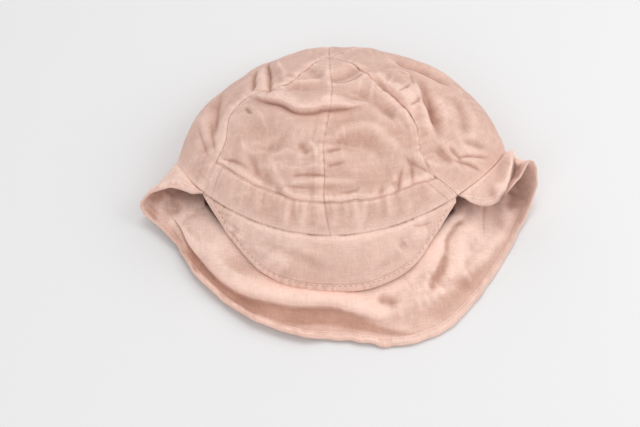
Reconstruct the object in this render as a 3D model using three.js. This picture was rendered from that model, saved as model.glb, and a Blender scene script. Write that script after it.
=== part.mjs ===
// A baby's sun hat of washed linen, lying on its back on a table, front up.
// The crown is six sewn gores. A gathered band and a short peak cross its front.
// A neck flap is sewn round the rest of the rim and spreads on the table below the peak.
// Angles run round the crown in degrees: 0 is the front seam, 90 the right side, 180 the back.
// t runs up the crown, from its rim (0) to the point where the gores meet (1).
import * as THREE from 'three';

// Driving sizes, in millimetres
const clothWall = 1.2;
const bandWall = 2.2;
const peakWall = 2.0;
const hemWall = 2.2;
const hemWidth = 4.5;
const seamGap = 0.3;
const tableBlend = 3;
const middleX = 6.0;
const middleY = 52.4;

// The crown's outline at each height up it. left, right, front and back are its four sides.
// A back that is below the table lies flat on it.
const crownRows = [
  { t: 0.00, frontY: 0, frontZ: 40, backY: 60, backZ: -10,
    leftX: 94, leftY: 67, leftZ: 20, rightX: 109, rightY: 74, rightZ: 24 },
  { t: 0.15, frontY: 18, frontZ: 47, backY: 82, backZ: -12,
    leftX: 89, leftY: 87, leftZ: 21, rightX: 103, rightY: 91, rightZ: 25 },
  { t: 0.32, frontY: 41, frontZ: 54, backY: 106, backZ: -12,
    leftX: 79, leftY: 107, leftZ: 23, rightX: 94, rightY: 109, rightZ: 26 },
  { t: 0.50, frontY: 68, frontZ: 57, backY: 131, backZ: -10,
    leftX: 63, leftY: 124, leftZ: 25, rightX: 78, rightY: 127, rightZ: 27 },
  { t: 0.68, frontY: 94, frontZ: 56, backY: 152, backZ: 3,
    leftX: 42, leftY: 137, leftZ: 29, rightX: 55, rightY: 140, rightZ: 30 },
  { t: 0.84, frontY: 115, frontZ: 51, backY: 155, backZ: 26,
    leftX: 20, leftY: 139, leftZ: 37, rightX: 28, rightY: 141, rightZ: 37 },
  { t: 1.00, frontY: 132, frontZ: 44, backY: 132, backZ: 44,
    leftX: 0, leftY: 132, leftZ: 44, rightX: 0, rightY: 132, rightZ: 44 },
];

// The angle of each seam at each height. The front seams wander, because the cloth is creased.
const seamRows = [
  { t: 0.00, backLeft: -122, frontLeft: -51, front: 0, frontRight: 45, backRight: 118 },
  { t: 0.15, backLeft: -122, frontLeft: -49, front: -2, frontRight: 38, backRight: 118 },
  { t: 0.28, backLeft: -122, frontLeft: -48, front: -2, frontRight: 35.5, backRight: 118 },
  { t: 0.40, backLeft: -122, frontLeft: -54, front: -2.5, frontRight: 38, backRight: 118 },
  { t: 0.55, backLeft: -122, frontLeft: -51, front: -0.5, frontRight: 37.5, backRight: 119 },
  { t: 0.70, backLeft: -122, frontLeft: -32, front: 2, frontRight: 34.5, backRight: 120 },
  { t: 0.85, backLeft: -122, frontLeft: -35, front: 1.5, frontRight: 40, backRight: 122 },
  { t: 1.00, backLeft: -122, frontLeft: -38, front: 1.5, frontRight: 42, backRight: 122 },
];

// How far up the crown the band's stitched top edge lies, by angle
const bandRows = [
  { angle: -55, top: 0.170 },
  { angle: -40, top: 0.168 },
  { angle: -23, top: 0.166 },
  { angle: -14, top: 0.143 },
  { angle: 0, top: 0.150 },
  { angle: 14, top: 0.144 },
  { angle: 28, top: 0.152 },
  { angle: 45, top: 0.112 },
];

// Gathers that the elastic makes in the band, in millimetres and degrees
const gather = { height: 0.6, spacing: 6.5, from: -16, to: 26, fade: 8 };

// The peak's outer edge, from its left end (s 0) to its right end (s 1)
const peakRows = [
  { s: 0.0, x: -73.5, y: 31, z: 32.5 },
  { s: 0.1, x: -65, y: 18, z: 27 },
  { s: 0.2, x: -53, y: 3.2, z: 19.5 },
  { s: 0.3, x: -40, y: -8.7, z: 13.5 },
  { s: 0.4, x: -22, y: -17.2, z: 10.4 },
  { s: 0.5, x: 0, y: -19.2, z: 9 },
  { s: 0.6, x: 22.5, y: -17.7, z: 9 },
  { s: 0.7, x: 40, y: -10.7, z: 10.5 },
  { s: 0.8, x: 52, y: -1.8, z: 14.5 },
  { s: 0.9, x: 63, y: 13, z: 23 },
  { s: 1.0, x: 75, y: 27, z: 35.3 },
];
const peakBend = { up: 0.10, forward: 0.06 };

// The flap's hem, from the peak's left end (s 0) round the back to its right end (s 1).
// sag is how far the cloth hangs below a straight line from the rim to the hem.
const hemRows = [
  { s: 0.000, x: -79, y: 35, z: 32.5, sag: 0 },
  { s: 0.045, x: -86, y: 38.5, z: 31, sag: 0 },
  { s: 0.090, x: -97, y: 42.5, z: 27, sag: 0 },
  { s: 0.125, x: -110, y: 42, z: 20, sag: 1 },
  { s: 0.143, x: -115, y: 37.5, z: 14, sag: 2 },
  { s: 0.165, x: -109, y: 32, z: 8.5, sag: 4 },
  { s: 0.205, x: -95, y: 18, z: 5.5, sag: 6 },
  { s: 0.250, x: -82, y: -3, z: 5.5, sag: 8 },
  { s: 0.300, x: -65, y: -21, z: 5.5, sag: 9 },
  { s: 0.355, x: -42, y: -36.5, z: 6, sag: 9 },
  { s: 0.410, x: -18, y: -45, z: 5, sag: 8 },
  { s: 0.470, x: 6, y: -49, z: 3, sag: 5 },
  { s: 0.530, x: 36, y: -52, z: 1.1, sag: 2 },
  { s: 0.590, x: 64, y: -43, z: 1.1, sag: 2 },
  { s: 0.650, x: 87, y: -20.5, z: 1.1, sag: 3 },
  { s: 0.715, x: 104, y: 5, z: 1.1, sag: 5 },
  { s: 0.765, x: 118, y: 31, z: 3, sag: 6 },
  { s: 0.800, x: 124.5, y: 44, z: 9, sag: 7 },
  { s: 0.832, x: 127, y: 52, z: 20, sag: 6 },
  { s: 0.856, x: 125, y: 57, z: 32, sag: 4 },
  { s: 0.875, x: 120, y: 56, z: 37, sag: 1 },
  { s: 0.905, x: 113, y: 44, z: 35, sag: -1 },
  { s: 0.930, x: 105, y: 33, z: 33.5, sag: -2 },
  { s: 0.955, x: 95, y: 26, z: 33.5, sag: -1 },
  { s: 1.000, x: 80, y: 29, z: 35.5, sag: 0 },
];

// The flap lies up close under the peak's edge. share is how much of the way up it comes at
// each place along that edge, and its two reaches are how soon it falls away either side.
const mound = { clearance: 3.0, outside: 22, inside: 10, fadeFrom: 0.78, fadeTo: 0.97 };
const moundRows = [
  { s: 0.00, share: 0 },
  { s: 0.10, share: 0 },
  { s: 0.26, share: 0.9 },
  { s: 0.40, share: 1 },
  { s: 0.60, share: 1 },
  { s: 0.74, share: 0.9 },
  { s: 0.90, share: 0 },
  { s: 1.00, share: 0 },
];

// Folds and dents of the crown, raised (+) or sunk (-). from and to are an angle and a t.
const crownFolds = [
  { name: 'lip', from: [-58, 0.585], to: [16, 0.640], halfWidth: 7.5, height: 3.6 },
  { name: 'under the lip', from: [-44, 0.525], to: [20, 0.565], halfWidth: 6, height: -3.4 },
  { name: 'below the point', from: [-24, 0.790], to: [27, 0.735], halfWidth: 8, height: -4.2 },
  { name: 'beside right seam', from: [20, 0.700], to: [31, 0.455], halfWidth: 7, height: -3.6 },
  { name: 'right seam puff', from: [42, 0.700], to: [45, 0.510], halfWidth: 8, height: 3.4 },
  { name: 'left puff', from: [-66, 0.640], to: [-52, 0.600], halfWidth: 6, height: 2.2 },
  { name: 'left soft dent', from: [-84, 0.400], to: [-58, 0.290], halfWidth: 5, height: -1.6 },
  { name: 'long right crease', from: [76, 0.720], to: [78, 0.480], halfWidth: 5, height: -2.2 },
  { name: 'long right ridge', from: [62, 0.700], to: [68, 0.470], halfWidth: 7, height: 1.6 },
  { name: 'right dent', from: [54, 0.470], to: [44, 0.330], halfWidth: 6, height: -2.6 },
  { name: 'arc, left part', from: [-4, 0.420], to: [16, 0.465], halfWidth: 7, height: 1.8 },
  { name: 'arc, right part', from: [16, 0.465], to: [28, 0.300], halfWidth: 7, height: 1.8 },
  { name: 'inside the arc', from: [3, 0.350], to: [16, 0.290], halfWidth: 9, height: -1.8 },
  { name: 'left of front seam', from: [-24, 0.300], to: [-15, 0.185], halfWidth: 5, height: -1.8 },
  { name: 'upright ridge', from: [-40, 0.330], to: [-30, 0.200], halfWidth: 5, height: 1.5 },
  { name: 'side pucker', from: [54, 0.150], to: [68, 0.060], halfWidth: 4.5, height: -1.8 },
];

// Folds of the flap, raised (+) or sunk (-) as seen from its inner side, which faces up
// below the peak. from and to are an s as above and an r, from the seam (0) to the hem (1).
const flapFolds = [
  { name: 'right ray', from: [0.690, 0.35], to: [0.640, 0.75], halfWidth: 7, height: 3.5 },
  { name: 'far right ray', from: [0.770, 0.45], to: [0.740, 0.80], halfWidth: 6, height: 2.5 },
  { name: 'right valley', from: [0.862, 0.60], to: [0.925, 0.72], halfWidth: 5, height: 5.0 },
  { name: 'right crest', from: [0.866, 0.26], to: [0.935, 0.45], halfWidth: 5, height: -2.5 },
];

// How many faces each kind of piece has along and across. The gores share their heights, so
// that the edges along a seam match. A front gore has those from aboveBand up.
const goreRows = 26;
const aboveBand = 5;
const mesh = {
  frontGore: { columns: 12, rows: goreRows - aboveBand + 1 },
  sideGore: { columns: 10, rows: goreRows },
  backGore: { columns: 5, rows: goreRows },
  band: { columns: 26, rows: 2 },
  peak: { columns: 24, rows: 6 },
  flap: { columns: 60, rows: 13 },
};
const goresEnd = 0.985;
const backSeam = 180;
const flapEnds = { from: 0.012, to: 0.988 };
const peakEnds = { from: 0.02, to: 0.98 };

const { degToRad, lerp, smoothstep } = THREE.MathUtils;

// Reads a smooth curve through one column of a table, at a value of the column named by
function column(rows, key, at, by = 't') {
  const last = rows.length - 1;
  let i = 0;
  while (i < last - 1 && at > rows[i + 1][by]) i += 1;
  const slope = (k) => {
    const low = rows[Math.max(k - 1, 0)];
    const high = rows[Math.min(k + 1, last)];
    return (high[key] - low[key]) / (high[by] - low[by]);
  };
  const width = rows[i + 1][by] - rows[i][by];
  const f = (at - rows[i][by]) / width;
  const g = 1 - f;
  return rows[i][key] * (1 + 2 * f) * g * g + width * slope(i) * f * g * g
    + rows[i + 1][key] * (3 - 2 * f) * f * f - width * slope(i + 1) * g * f * f;
}

// A point of a table's x, y and z columns
function edgePoint(rows, s) {
  return new THREE.Vector3(column(rows, 'x', s, 's'), column(rows, 'y', s, 's'), column(rows, 'z', s, 's'));
}

// Keeps cloth on the table. low is the height of its middle where it lies flat.
function onTable(z, low) {
  const above = z - low;
  if (above < -tableBlend) return low;
  if (above > tableBlend) return z;
  return low + (above + tableBlend) ** 2 / (4 * tableBlend);
}

// The direction out of a surface, from small steps either side of a point
function outward(surface, u, v, stepU, stepV) {
  const along = surface(u + stepU, v).sub(surface(u - stepU, v));
  const across = surface(u, v + stepV).sub(surface(u, v - stepV));
  return along.cross(across).normalize();
}

// How far the folds between the given ends lift a point
function foldLift(point, folds) {
  return folds.reduce((lift, fold) => {
    const nearest = fold.line.closestPointToPoint(point, true, new THREE.Vector3());
    const distance = nearest.distanceTo(point) / fold.halfWidth;
    return lift + fold.height * Math.exp(-distance * distance);
  }, 0);
}

// The crown without its folds
function crownForm(angle, t) {
  const s = Math.sin(degToRad(angle));
  const c = Math.cos(degToRad(angle));
  const toRight = 0.5 + 0.5 * s;
  const at = (key) => column(crownRows, key, t);
  const side = (key) => lerp(at('left' + key), at('right' + key), toRight);
  const section = (key) => side(key) + (at('front' + key) - at('back' + key)) / 2 * c
    + ((at('front' + key) + at('back' + key)) / 2 - side(key)) * c * c;
  return new THREE.Vector3(side('X') * s, section('Y'), section('Z'));
}
const crownLines = crownFolds.map((fold) => ({
  ...fold,
  line: new THREE.Line3(crownForm(...fold.from), crownForm(...fold.to)),
}));

// The middle of the crown's cloth. Its folds die away at the rim and at the point.
function crown(angle, t) {
  const point = crownForm(angle, t);
  const free = smoothstep(t, 0, 0.08) * (1 - smoothstep(t, 0.88, 0.97));
  const out = outward(crownForm, angle, Math.min(t, 0.97), 0.5, 0.004);
  point.addScaledVector(out, foldLift(point, crownLines) * free);
  point.z = onTable(point.z, clothWall / 2);
  return point;
}

// How far the flap is lifted at a point, to lie close under the peak's edge
const edgeSteps = 40;
const peakEdge = Array.from({ length: edgeSteps + 1 }, (_, k) => edgePoint(peakRows, k / edgeSteps));
function underPeak(point) {
  const flat = new THREE.Vector3(point.x, point.y, 0);
  let nearest = { away: Infinity };
  for (let k = 0; k < edgeSteps; k += 1) {
    const from = peakEdge[k].clone().setZ(0);
    const side = new THREE.Line3(from, peakEdge[k + 1].clone().setZ(0));
    const share = side.closestPointToPointParameter(flat, true);
    const away = side.at(share, new THREE.Vector3()).distanceTo(flat);
    if (away < nearest.away) {
      const across = side.delta(new THREE.Vector3()).cross(flat.clone().sub(from)).z;
      nearest = { away, s: (k + share) / edgeSteps, isInside: across > 0 };
    }
  }
  const top = column(peakRows, 'z', nearest.s, 's') - mound.clearance;
  const reach = nearest.isInside ? mound.inside : mound.outside;
  const strength = column(moundRows, 'share', nearest.s, 's') * Math.exp(-((nearest.away / reach) ** 2));
  return Math.max(top - point.z, 0) * strength;
}

// The rim where the flap is sewn on, and the flap without its folds: straight lines from
// the rim to the hem, which sag
const neckFrom = seamRows[0].frontLeft;
const neckTurn = seamRows[0].frontRight - 360 - neckFrom;
function neck(s) {
  return crown(neckFrom + neckTurn * s, 0);
}
function flapForm(s, r) {
  const point = neck(s).lerp(edgePoint(hemRows, s), r);
  point.z -= column(hemRows, 'sag', s, 's') * 4 * r * (1 - r);
  point.z += underPeak(point) * (1 - smoothstep(r, mound.fadeFrom, mound.fadeTo));
  return point;
}
const flapLines = flapFolds.map((fold) => ({
  ...fold,
  line: new THREE.Line3(flapForm(...fold.from), flapForm(...fold.to)),
}));

// The middle of the flap's cloth, for a wall of the given thickness
function flap(s, r, wall = clothWall) {
  const point = flapForm(s, r);
  const lift = foldLift(point, flapLines) * smoothstep(r, 0, 0.2);
  point.addScaledVector(outward(flapForm, s, r, 0.002, 0.01), -lift);
  point.z = onTable(point.z, wall / 2);
  return point;
}

// The middle of the peak, which bends a little over its length
function peak(s, r) {
  const seam = crown(lerp(seamRows[0].frontLeft, seamRows[0].frontRight, s), 0);
  const edge = edgePoint(peakRows, s);
  const bend = seam.distanceTo(edge) * 4 * r * (1 - r);
  const point = seam.lerp(edge, r);
  point.z += peakBend.up * bend;
  point.y -= peakBend.forward * bend;
  return point;
}

const crownOut = (angle, t) => outward(crown, angle, t, 0.5, 0.004);
const flapOut = (s, r) => outward(flap, s, r, 0.002, 0.01);
const peakOut = (s, r) => outward(peak, s, r, 0.004, 0.01).negate();

// At the rim, the crown and what is sewn to it share the direction half way between theirs,
// so that their edges stay parallel
function rimOut(angle) {
  const turned = (angle - neckFrom) / neckTurn;
  const s = turned < 0 ? turned - 360 / neckTurn : turned;
  const sewn = s <= 1 ? flapOut(s, 0.04) : peakOut((s - 1) / (-360 / neckTurn - 1), 0.04);
  return crownOut(angle, 0.01).add(sewn).normalize();
}

// One closed piece of cloth. at(i, j) gives the middle, the way out and the thickness of its
// wall, for i of 0 to columns and j of 0 to rows.
function clothPiece(name, { columns, rows }, material, at) {
  const outer = [];
  const inner = [];
  for (let j = 0; j <= rows; j += 1) {
    for (let i = 0; i <= columns; i += 1) {
      const { middle, out, wall } = at(i, j);
      outer.push(...middle.clone().addScaledVector(out, wall / 2));
      inner.push(...middle.clone().addScaledVector(out, -wall / 2));
    }
  }
  const sheet = (columns + 1) * (rows + 1);
  const out = (i, j) => j * (columns + 1) + i;
  const into = (i, j) => sheet + out(i, j);
  const faces = [];
  const quad = (a, b, c, d) => faces.push(a, b, c, a, c, d);
  for (let j = 0; j < rows; j += 1) {
    for (let i = 0; i < columns; i += 1) {
      quad(out(i, j), out(i + 1, j), out(i + 1, j + 1), out(i, j + 1));
      quad(into(i, j + 1), into(i + 1, j + 1), into(i + 1, j), into(i, j));
    }
  }
  for (let i = 0; i < columns; i += 1) {
    quad(into(i, 0), into(i + 1, 0), out(i + 1, 0), out(i, 0));
    quad(out(i, rows), out(i + 1, rows), into(i + 1, rows), into(i, rows));
  }
  for (let j = 0; j < rows; j += 1) {
    quad(out(0, j), out(0, j + 1), into(0, j + 1), into(0, j));
    quad(into(columns, j), into(columns, j + 1), out(columns, j + 1), out(columns, j));
  }
  const geometry = new THREE.BufferGeometry();
  geometry.setAttribute('position', new THREE.Float32BufferAttribute([...outer, ...inner], 3));
  geometry.setIndex(faces);
  geometry.computeVertexNormals();
  const piece = new THREE.Mesh(geometry, material);
  piece.name = name;
  return piece;
}

const clothColour = new THREE.Color().setRGB(0.87, 0.73, 0.68, THREE.SRGBColorSpace);
function clothMaterial(shade) {
  return new THREE.MeshStandardMaterial({
    color: clothColour.clone().multiplyScalar(shade),
    roughness: 0.95,
    metalness: 0,
  });
}

// The angle of a seam, which is a column of the table or the back seam's own angle
const seamAngle = (seam, t) => (typeof seam === 'number' ? seam : column(seamRows, seam, t));
const bandTop = (angle) => column(bandRows, 'top', angle, 'angle');

// The angle at a share u of the way from one seam to the next, clear of both by half a gap
function betweenSeams(left, right, u, t) {
  const from = seamAngle(left, t);
  const to = seamAngle(right, t);
  const steps = 6;
  let width = 0;
  for (let k = 0; k < steps; k += 1) {
    const a = crown(lerp(from, to, k / steps), t);
    width += a.distanceTo(crown(lerp(from, to, (k + 1) / steps), t));
  }
  const clear = seamGap / 2 / width;
  return lerp(from, to, lerp(clear, 1 - clear, u));
}
const seamClear = seamGap / 2 / crownForm(0, 0).distanceTo(crownForm(0, 1));
const goreHeight = (row) => lerp(seamClear, goresEnd, row / goreRows);

function gore(name, size, left, right, material) {
  return clothPiece(name, size, material, (i, j) => {
    const t = goreHeight(j);
    const angle = betweenSeams(left, right, i / size.columns, t);
    const out = j === 0 ? rimOut(angle) : crownOut(angle, t);
    return { middle: crown(angle, t), out, wall: clothWall };
  });
}

// The band's top edge at a share u of the way from one seam to the next
function bandTopBetween(left, right, u) {
  const rough = 0.15;
  return bandTop(lerp(seamAngle(left, rough), seamAngle(right, rough), u));
}

// A front gore starts above the band
function frontGore(name, left, right, material) {
  const size = mesh.frontGore;
  return clothPiece(name, size, material, (i, j) => {
    const u = i / size.columns;
    const t = j === 0 ? bandTopBetween(left, right, u) + seamClear : goreHeight(aboveBand + j - 1);
    const angle = betweenSeams(left, right, u, t);
    return { middle: crown(angle, t), out: crownOut(angle, t), wall: clothWall };
  });
}

// The band is a casing in two lengths, with gathers either side of the front seam
function band(name, left, right, material) {
  const size = mesh.band;
  return clothPiece(name, size, material, (i, j) => {
    const u = i / size.columns;
    const t = lerp(seamClear, bandTopBetween(left, right, u) - seamClear, j / size.rows);
    const angle = betweenSeams(left, right, u, t);
    const out = j === 0 ? rimOut(angle) : crownOut(angle, t);
    const gathered = smoothstep(angle, gather.from - gather.fade, gather.from)
      * (1 - smoothstep(angle, gather.to, gather.to + gather.fade));
    const ripple = gather.height * gathered * Math.cos(2 * Math.PI * angle / gather.spacing);
    return { middle: crown(angle, t).addScaledVector(out, j === 0 ? 0 : ripple), out, wall: bandWall };
  });
}

// The peak is two layers with a stiffener. It is built from right to left, so that it faces up.
function peakPiece(material) {
  const size = mesh.peak;
  return clothPiece('peak', size, material, (i, j) => {
    const s = lerp(peakEnds.to, peakEnds.from, i / size.columns);
    const clear = seamGap / 2 / peak(s, 0).distanceTo(peak(s, 1));
    const r = lerp(clear, 1, j / size.rows);
    const rim = lerp(seamRows[0].frontLeft, seamRows[0].frontRight, s);
    const out = j === 0 ? rimOut(rim) : peakOut(s, r);
    return { middle: peak(s, r), out, wall: peakWall };
  });
}

// The flap's last two rows are its turned hem
function neckFlap(material) {
  const size = mesh.flap;
  const inner = size.rows - 2;
  return clothPiece('neck_flap', size, material, (i, j) => {
    const s = lerp(flapEnds.from, flapEnds.to, i / size.columns);
    const length = neck(s).distanceTo(edgePoint(hemRows, s));
    const hem = Math.min(hemWidth / length, 0.3);
    const clear = seamGap / 2 / length;
    const r = j <= inner ? lerp(clear, 1 - 1.3 * hem, j / inner) : 1 - hem * (size.rows - j);
    const wall = j <= inner ? clothWall : hemWall;
    const out = j === 0 ? rimOut(neckFrom + neckTurn * s) : flapOut(s, r);
    return { middle: flap(s, r, wall), out, wall };
  });
}

const hat = new THREE.Group();
hat.name = 'baby_sun_hat';
hat.position.set(-middleX, -middleY, 0);
hat.add(
  frontGore('crown_front_left', 'frontLeft', 'front', clothMaterial(1)),
  frontGore('crown_front_right', 'front', 'frontRight', clothMaterial(0.97)),
  gore('crown_side_left', mesh.sideGore, 'backLeft', 'frontLeft', clothMaterial(0.95)),
  gore('crown_side_right', mesh.sideGore, 'frontRight', 'backRight', clothMaterial(0.95)),
  gore('crown_back_left', mesh.backGore, -backSeam, 'backLeft', clothMaterial(0.92)),
  gore('crown_back_right', mesh.backGore, 'backRight', backSeam, clothMaterial(0.92)),
  band('band_left', 'frontLeft', 'front', clothMaterial(0.9)),
  band('band_right', 'front', 'frontRight', clothMaterial(0.88)),
  peakPiece(clothMaterial(1.03)),
  neckFlap(clothMaterial(0.96)),
);
export default hat;
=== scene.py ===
import itertools
import math

import bmesh
import bpy
import numpy as np
from mathutils import Matrix


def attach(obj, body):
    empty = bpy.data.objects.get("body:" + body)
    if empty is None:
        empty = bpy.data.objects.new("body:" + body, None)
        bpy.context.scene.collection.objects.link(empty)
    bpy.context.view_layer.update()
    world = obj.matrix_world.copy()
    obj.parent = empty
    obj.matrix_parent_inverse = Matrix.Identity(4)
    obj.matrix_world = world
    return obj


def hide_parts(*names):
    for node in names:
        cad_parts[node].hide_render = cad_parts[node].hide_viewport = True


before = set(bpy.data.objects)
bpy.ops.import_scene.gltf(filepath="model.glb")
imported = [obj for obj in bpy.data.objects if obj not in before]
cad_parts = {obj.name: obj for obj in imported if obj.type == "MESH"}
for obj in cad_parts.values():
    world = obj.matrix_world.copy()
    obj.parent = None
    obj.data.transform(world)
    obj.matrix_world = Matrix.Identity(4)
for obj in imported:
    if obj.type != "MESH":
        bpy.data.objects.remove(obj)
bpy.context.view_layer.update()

# A baby's sun hat of washed linen, lying on its back on a table, front up.
# Shapes are worked out in millimetres, with x 0 at the front seam, y 0 at the rim's front
# and z 0 on the table, and are moved to the row frame when a mesh is made.
# Angles run round the crown in degrees: 0 is the front seam, 90 the right side.
# t runs up the crown, from its rim (0) to the point where the gores meet (1).
metre = 0.001
rowFrameShift = np.array([6.0, 52.4, 0.0])
clothStep = 0.75  # size of a cloth mesh's faces
flapStep = 1.4

# The hat's outline, as in the CAD model
crownRows = {
    "t": [0.00, 0.15, 0.32, 0.50, 0.68, 0.84, 1.00],
    "frontY": [0, 18, 41, 68, 94, 115, 132],
    "frontZ": [40, 47, 54, 57, 56, 51, 44],
    "leftX": [94, 89, 79, 63, 42, 20, 0],
    "leftY": [67, 87, 107, 124, 137, 139, 132],
    "leftZ": [20, 21, 23, 25, 29, 37, 44],
    "rightX": [109, 103, 94, 78, 55, 28, 0],
    "rightY": [74, 91, 109, 127, 140, 141, 132],
    "rightZ": [24, 25, 26, 27, 30, 37, 44],
    "backY": [60, 82, 106, 131, 152, 155, 132],
    "backZ": [-10, -12, -12, -10, 3, 26, 44],
}
seamRows = {
    "t": [0.00, 0.15, 0.28, 0.40, 0.55, 0.70, 0.85, 1.00],
    "backLeft": [-122, -122, -122, -122, -122, -122, -122, -122],
    "frontLeft": [-51, -49, -48, -54, -51, -32, -35, -38],
    "front": [0, -2, -2, -2.5, -0.5, 2, 1.5, 1.5],
    "frontRight": [45, 38, 35.5, 38, 37.5, 34.5, 40, 42],
    "backRight": [118, 118, 118, 118, 119, 120, 122, 122],
    "backEndLeft": [-180] * 8,
    "backEndRight": [180] * 8,
}
bandShare = 0.15  # about how far up the crown the band reaches
# The dark column is the strength of the painted shade along the band's top, and also sets how far the crown
# sinks there
bandRows = {  # the band's top as a share of the crown's length, and how dark its line shows
    "angle": [-55, -40, -31, -23, -18, -14, -8, 0, 8, 14, 28, 37, 45],
    "top": [0.170, 0.168, 0.166, 0.163, 0.153, 0.143, 0.151, 0.148, 0.151, 0.144, 0.152, 0.136, 0.112],
    "dark": [0.6, 0.9, 0.35, 0.25, 1.0, 1.0, 0.35, 0.9, 0.8, 0.25, 0.15, 0.3, 0.5],
}
peakRows = {
    "s": [0.0, 0.1, 0.2, 0.3, 0.4, 0.5, 0.6, 0.7, 0.8, 0.9, 1.0],
    "x": [-76, -65, -53, -40, -22, 0, 22.5, 40, 52, 63, 75],
    "y": [34, 18, 3.5, -8.4, -16.8, -18.8, -17.3, -10.4, -1.5, 13, 27],
    "z": [33, 27, 19, 13, 9.8, 8.4, 8.4, 10, 14, 23, 35.3],
}
hemRows = {
    "s": [0.000, 0.045, 0.090, 0.125, 0.143, 0.165, 0.205, 0.250, 0.300, 0.355, 0.410, 0.470, 0.530,
          0.590, 0.650, 0.715, 0.765, 0.800, 0.832, 0.856, 0.875, 0.905, 0.930, 0.955, 1.000],
    "x": [-79, -86, -97, -110, -115, -109, -95, -82, -65, -42, -18, 6, 36,
          64, 87, 104, 118, 124.5, 127, 125, 120, 113, 105, 95, 80],
    "y": [35, 38.5, 42.5, 42, 37.5, 32, 18, -3, -21, -38.5, -47, -48, -51.5,
          -43, -20.5, 5, 31, 44, 52, 57, 56, 44, 33, 26, 29],
    "z": [32.5, 31, 27, 20, 14, 8.5, 5.5, 5.5, 5.5, 6, 5, 3, 1.1,
          1.1, 1.1, 1.1, 3, 9, 20, 32, 37, 35, 33.5, 33.5, 35.5],
    "sag": [0, 0, 0, 1, 2, 4, 6, 6.5, 6, 5.5, 5, 4, 2,
            2, 3, 5, 6, 7, 6, 4, 1, -1, -2, -1, 0],
}
neckFrom = -51
neckTurn = -264
peakTurn = 96
peakBend = {"up": 0.10, "forward": 0.06}
mound = {
    "s": [0.00, 0.14, 0.88, 1.00],  # along the peak's edge
    "share": [0.60, 1.0, 1.0, 0.6],
    "clearance": 2.0,
    "outside": 24,
    "inside": 9,
}
tableBlend = 3


def column(rows, key, at, by="t"):  # a smooth curve through one column of a table
    xs = np.array(rows[by], float)
    ys = np.array(rows[key], float)
    low = np.r_[0, np.arange(len(xs) - 1)]
    high = np.r_[np.arange(1, len(xs)), len(xs) - 1]
    slope = (ys[high] - ys[low]) / (xs[high] - xs[low])
    at = np.asarray(at, float)
    i = np.clip(np.searchsorted(xs, at, side="right") - 1, 0, len(xs) - 2)
    width = xs[i + 1] - xs[i]
    f = (at - xs[i]) / width
    g = 1 - f
    return (ys[i] * (1 + 2 * f) * g * g + width * slope[i] * f * g * g
            + ys[i + 1] * (3 - 2 * f) * f * f - width * slope[i + 1] * g * f * f)


def smooth(x, low, high):
    f = np.clip((np.asarray(x, float) - low) / (high - low), 0, 1)
    return f * f * (3 - 2 * f)


def mix(a, b, f):
    return a + (b - a) * f


def size(vectors):
    return np.sqrt((vectors * vectors).sum(-1))


def unit(vectors):
    return vectors / np.maximum(size(vectors), 1e-9)[..., None]


def lattice(points, cell, seed):  # smooth noise from -1 to 1, with lumps of about one cell
    values = np.random.default_rng(seed).random(4096)
    p = points / cell + 500
    corner = np.floor(p).astype(np.int64)
    f = p - corner
    f = f * f * f * (f * (f * 6 - 15) + 10)
    total = np.zeros(points.shape[:-1])
    for step in itertools.product((0, 1), repeat=3):
        at = corner + np.array(step)
        key = (at[..., 0] * 73856093 ^ at[..., 1] * 19349663 ^ at[..., 2] * 83492791) & 4095
        weight = np.prod(np.where(np.array(step) == 1, f, 1 - f), axis=-1)
        total += values[key] * weight
    return 2 * total - 1


def onTable(z, low):  # keeps cloth above the table, with a soft landing
    above = z - low
    blended = low + (above + tableBlend) ** 2 / (4 * tableBlend)
    return np.where(above < -tableBlend, low, np.where(above > tableBlend, z, blended))


def outward(surface, u, v, stepU, stepV):
    along = surface(u + stepU, v) - surface(u - stepU, v)
    across = surface(u, v + stepV) - surface(u, v - stepV)
    return unit(np.cross(along, across))


def crownForm(angle, t):
    s = np.sin(np.radians(angle))
    c = np.cos(np.radians(angle))
    at = {key: column(crownRows, key, t) for key in crownRows if key != "t"}

    def side(key):
        return mix(at["left" + key], at["right" + key], 0.5 + 0.5 * s)

    def section(key):
        front, back = at["front" + key], at["back" + key]
        return side(key) + (front - back) / 2 * c + ((front + back) / 2 - side(key)) * c * c

    return np.stack([side("X") * s, section("Y"), section("Z")], -1)


def edgePoint(rows, s):
    return np.stack([column(rows, key, s, "s") for key in "xyz"], -1)


def neck(s):
    return crownForm(neckFrom + neckTurn * s, np.zeros(np.shape(s)))


def flapForm(s, r):
    s, r = np.broadcast_arrays(s, r)
    start = neck(s)
    start[..., 2] = onTable(start[..., 2], flapCloth["wall"] / 2)
    point = mix(start, edgePoint(hemRows, s), r[..., None])
    point[..., 2] -= column(hemRows, "sag", s, "s") * 4 * r * (1 - r)
    point[..., 2] += underPeak(point) * (1 - smooth(r, 0.78, 0.97))
    return point


def underPeak(point):  # the flap rises to lie close under the peak's edge
    steps = np.linspace(0, 1, 41)
    edge = edgePoint(peakRows, steps)
    flat = point.reshape(-1, 3)
    away, share, _, _ = nearestOn(edge[:, :2], flat[:, :2])
    top = np.interp(share, steps, edge[:, 2]) - mound["clearance"]
    edgeY = np.interp(flat[:, 0], edge[:, 0], edge[:, 1], left=1e3, right=1e3)
    reach = np.where(flat[:, 1] < edgeY, mound["outside"], mound["inside"])
    strength = np.interp(share, mound["s"], mound["share"])
    lift = np.maximum(top - flat[:, 2], 0) * strength * np.exp(-(away / reach) ** 2)
    return lift.reshape(point.shape[:-1])


def peakForm(s, r):
    s, r = np.broadcast_arrays(s, r)
    seam = crownForm(neckFrom + peakTurn * s, np.zeros(s.shape))
    edge = edgePoint(peakRows, s)
    bend = size(edge - seam) * 4 * r * (1 - r)
    point = mix(seam, edge, r[..., None])
    point[..., 2] += peakBend["up"] * bend
    point[..., 1] -= peakBend["forward"] * bend
    return point


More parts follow.
